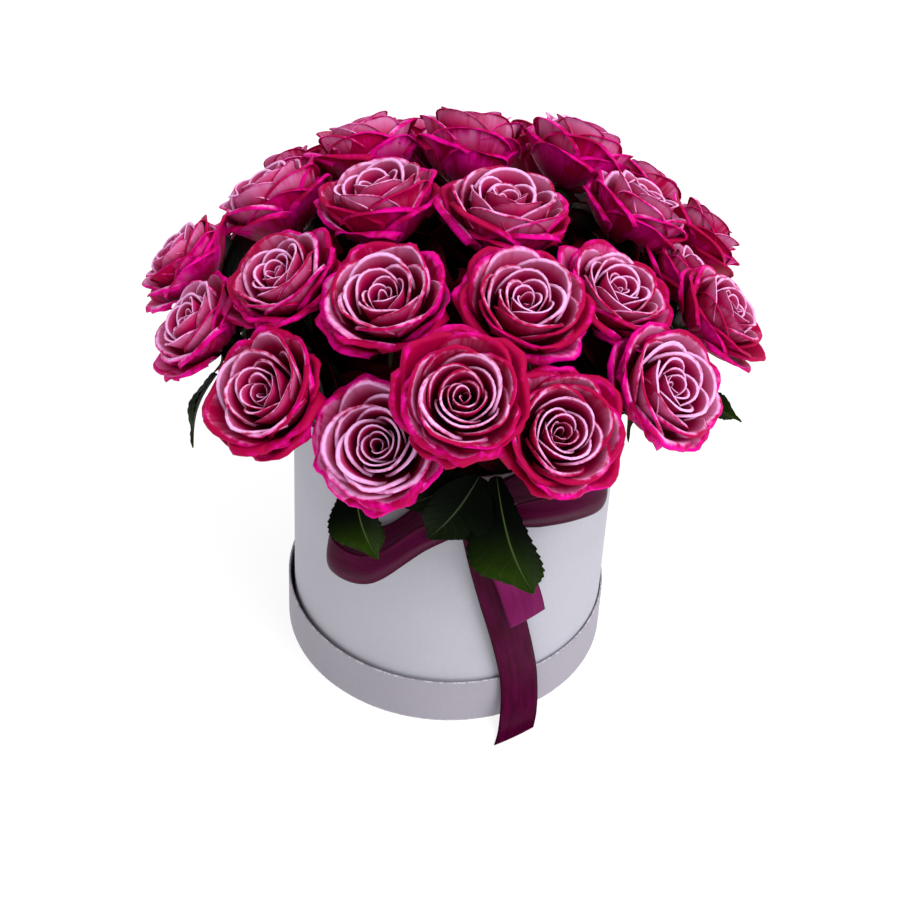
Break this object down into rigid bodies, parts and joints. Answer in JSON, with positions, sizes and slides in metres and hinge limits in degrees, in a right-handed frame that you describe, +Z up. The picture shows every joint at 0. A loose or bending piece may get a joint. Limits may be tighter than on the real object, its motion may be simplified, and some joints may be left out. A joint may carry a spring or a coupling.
{
  "type": "rose box",
  "caption": "Round cardboard hat box standing in its upturned lid, filled with floral foam and a low dome of cut roses on stems, with a satin bow and two tails on the front.",
  "frame": {"origin": "centre of the lid's underside, where the rose box stands on the table", "axes": "+Z up, -Y towards the bow at the front, +X to the right of somebody who looks at the bow"},
  "size_m": [0.3612, 0.3495, 0.3165],
  "materials": {
    "lilac_card": "matte",
    "liner_film": "satin",
    "floral_foam": "matte",
    "rose_petal": "matte",
    "rose_green": "matte",
    "plum_satin": "satin"
  },
  "bodies": {
    "root": {"lid": "lilac_card", "box": "lilac_card", "liner": "liner_film", "foam": "floral_foam", "rose_01_bloom": "rose_petal", "rose_01_stem": "rose_green", "rose_02_bloom": "rose_petal", "rose_02_stem": "rose_green", "rose_03_bloom": "rose_petal", "rose_03_stem": "rose_green", "rose_04_bloom": "rose_petal", "rose_04_stem": "rose_green", "rose_05_bloom": "rose_petal", "rose_05_stem": "rose_green", "rose_06_bloom": "rose_petal", "rose_06_stem": "rose_green", "rose_07_bloom": "rose_petal", "rose_07_stem": "rose_green", "rose_08_bloom": "rose_petal", "rose_08_stem": "rose_green", "rose_09_bloom": "rose_petal", "rose_09_stem": "rose_green", "rose_10_bloom": "rose_petal", "rose_10_stem": "rose_green", "rose_11_bloom": "rose_petal", "rose_11_stem": "rose_green", "rose_12_bloom": "rose_petal", "rose_12_stem": "rose_green", "rose_13_bloom": "rose_petal", "rose_13_stem": "rose_green", "rose_14_bloom": "rose_petal", "rose_14_stem": "rose_green", "rose_15_bloom": "rose_petal", "rose_15_stem": "rose_green", "rose_16_bloom": "rose_petal", "rose_16_stem": "rose_green", "rose_17_bloom": "rose_petal", "rose_17_stem": "rose_green", "rose_18_bloom": "rose_petal", "rose_18_stem": "rose_green", "rose_19_bloom": "rose_petal", "rose_19_stem": "rose_green", "rose_20_bloom": "rose_petal", "rose_20_stem": "rose_green", "rose_21_bloom": "rose_petal", "rose_21_stem": "rose_green", "rose_22_bloom": "rose_petal", "rose_22_stem": "rose_green", "rose_23_bloom": "rose_petal", "rose_23_stem": "rose_green", "rose_24_bloom": "rose_petal", "rose_24_stem": "rose_green", "rose_25_bloom": "rose_petal", "rose_25_stem": "rose_green", "bow": "plum_satin", "long_tail": "plum_satin", "short_tail": "plum_satin"}
  },
  "joints": []
}
